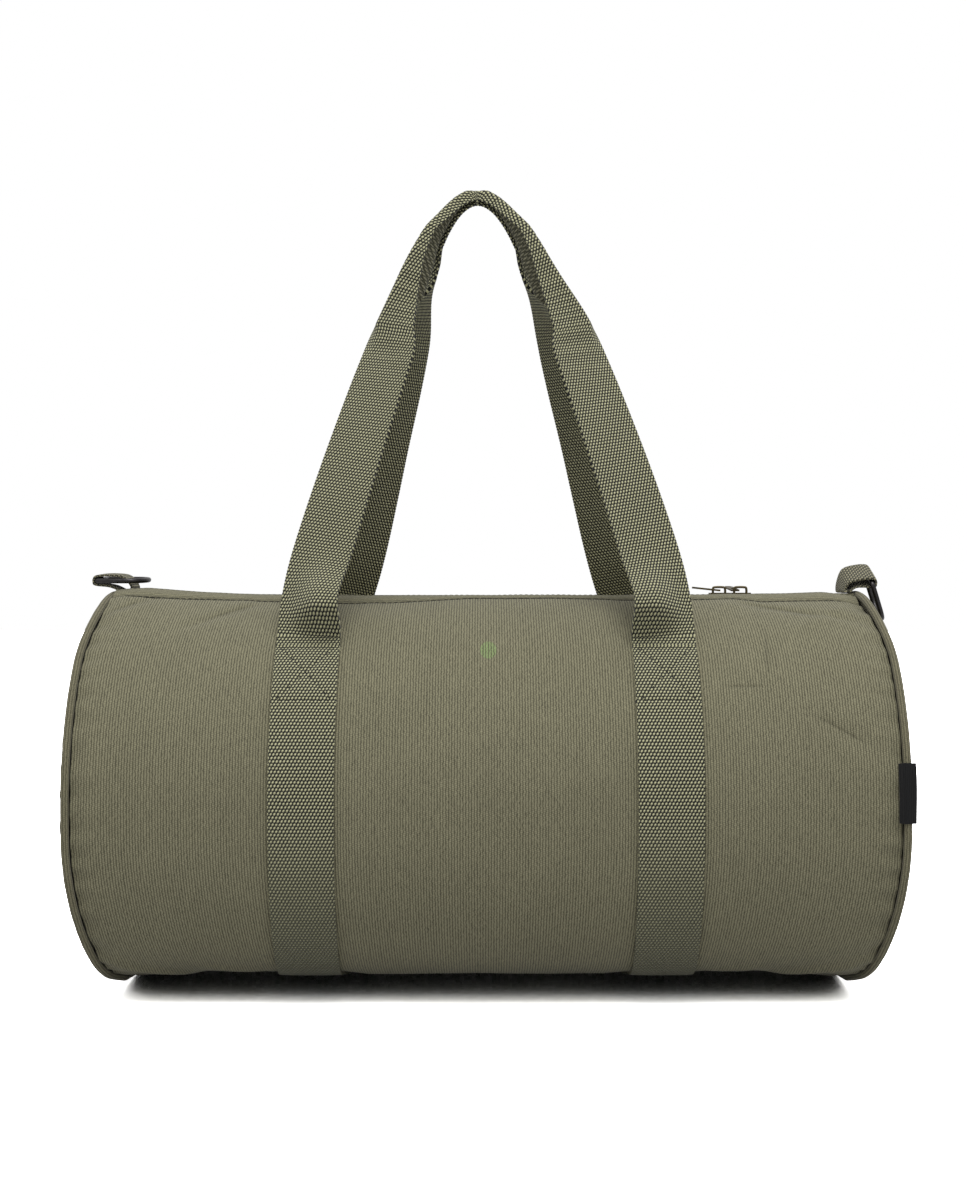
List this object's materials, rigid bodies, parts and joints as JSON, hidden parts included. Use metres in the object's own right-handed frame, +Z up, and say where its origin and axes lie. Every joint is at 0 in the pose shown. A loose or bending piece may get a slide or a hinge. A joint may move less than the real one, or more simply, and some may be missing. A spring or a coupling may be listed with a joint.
{
  "type": "gym bag",
  "caption": "Barrel gym bag of olive canvas with piped round ends, webbing straps and grab handles, a two-way top zip and a D-ring in a webbing loop at each end.",
  "frame": {"origin": "on the floor under the middle of the bag, halfway between its ends and between front and back", "axes": "+X along the bag to its right end as seen from the front, -Y towards the front, +Z up"},
  "size_m": [0.5158, 0.251, 0.5101],
  "materials": {
    "canvas": "plain woven cotton canvas, matt",
    "webbing": "coarse woven cotton webbing, matt",
    "zip_tape": "fine woven tape, matt",
    "seam_binding": "black woven binding, matt",
    "zip_metal": "antique brass, worn",
    "ring_metal": "dark gunmetal plating",
    "tag": "black folded ribbon, matt"
  },
  "bodies": {
    "bag": {"body_panel": "canvas", "end_panel_left": "canvas", "end_panel_right": "canvas", "piping_left": "canvas", "piping_right": "canvas", "zip_facing_front": "canvas", "zip_facing_rear": "canvas", "zip_end_tab_left": "canvas", "zip_end_tab_right": "canvas", "inner_pocket": "canvas", "strap_left": "webbing", "strap_right": "webbing", "ring_loop_left": "webbing", "ring_loop_right": "webbing", "zip_tape_front": "zip_tape", "zip_tape_rear": "zip_tape", "seam_binding_left": "seam_binding", "seam_binding_right": "seam_binding", "zip_teeth_front": "zip_metal", "zip_teeth_rear": "zip_metal", "zip_stop_left": "zip_metal", "zip_stop_right": "zip_metal", "side_tag": "tag"},
    "slider_left": {"slider_left": "zip_metal"},
    "slider_right": {"slider_right": "zip_metal"},
    "pull_tab_left": {"pull_tab_left": "zip_metal"},
    "pull_tab_right": {"pull_tab_right": "zip_metal"},
    "d_ring_left": {"d_ring_left": "ring_metal"},
    "d_ring_right": {"d_ring_right": "ring_metal"},
    "front_handle": {"front_handle": "webbing"},
    "rear_handle": {"rear_handle": "webbing"}
  },
  "joints": [
    {"name": "front_handle_swing", "type": "hinge", "parent": "bag", "child": "front_handle", "pos_m": [0, -0.0805, 0.2173], "axis": [1, 0, 0], "range_deg": [0, 105]},
    {"name": "rear_handle_swing", "type": "hinge", "parent": "bag", "child": "rear_handle", "pos_m": [0, 0.0805, 0.2173], "axis": [-1, 0, 0], "range_deg": [0, 105]},
    {"name": "left_slider_run", "type": "slide", "parent": "bag", "child": "slider_left", "axis": [1, 0, 0], "range_m": [-0.357, 0]},
    {"name": "right_slider_run", "type": "slide", "parent": "bag", "child": "slider_right", "axis": [1, 0, 0], "range_m": [0, 0.043]},
    {"name": "left_pull_tab_swing", "type": "hinge", "parent": "slider_left", "child": "pull_tab_left", "pos_m": [0.1503, 0, 0.2482], "axis": [0, 1, 0], "range_deg": [0, 140]},
    {"name": "right_pull_tab_swing", "type": "hinge", "parent": "slider_right", "child": "pull_tab_right", "pos_m": [0.1601, 0, 0.2485], "axis": [0, 0, 1], "range_deg": [-52, 42]},
    {"name": "left_ring_swing", "type": "hinge", "parent": "bag", "child": "d_ring_left", "pos_m": [-0.2475, 0, 0.2549], "axis": [0, -0.9986, -0.0523], "range_deg": [0, 250]},
    {"name": "right_ring_swing", "type": "hinge", "parent": "bag", "child": "d_ring_right", "pos_m": [0.2462, 0, 0.2574], "axis": [0, -0.9272, -0.3746], "range_deg": [0, 250]}
  ]
}
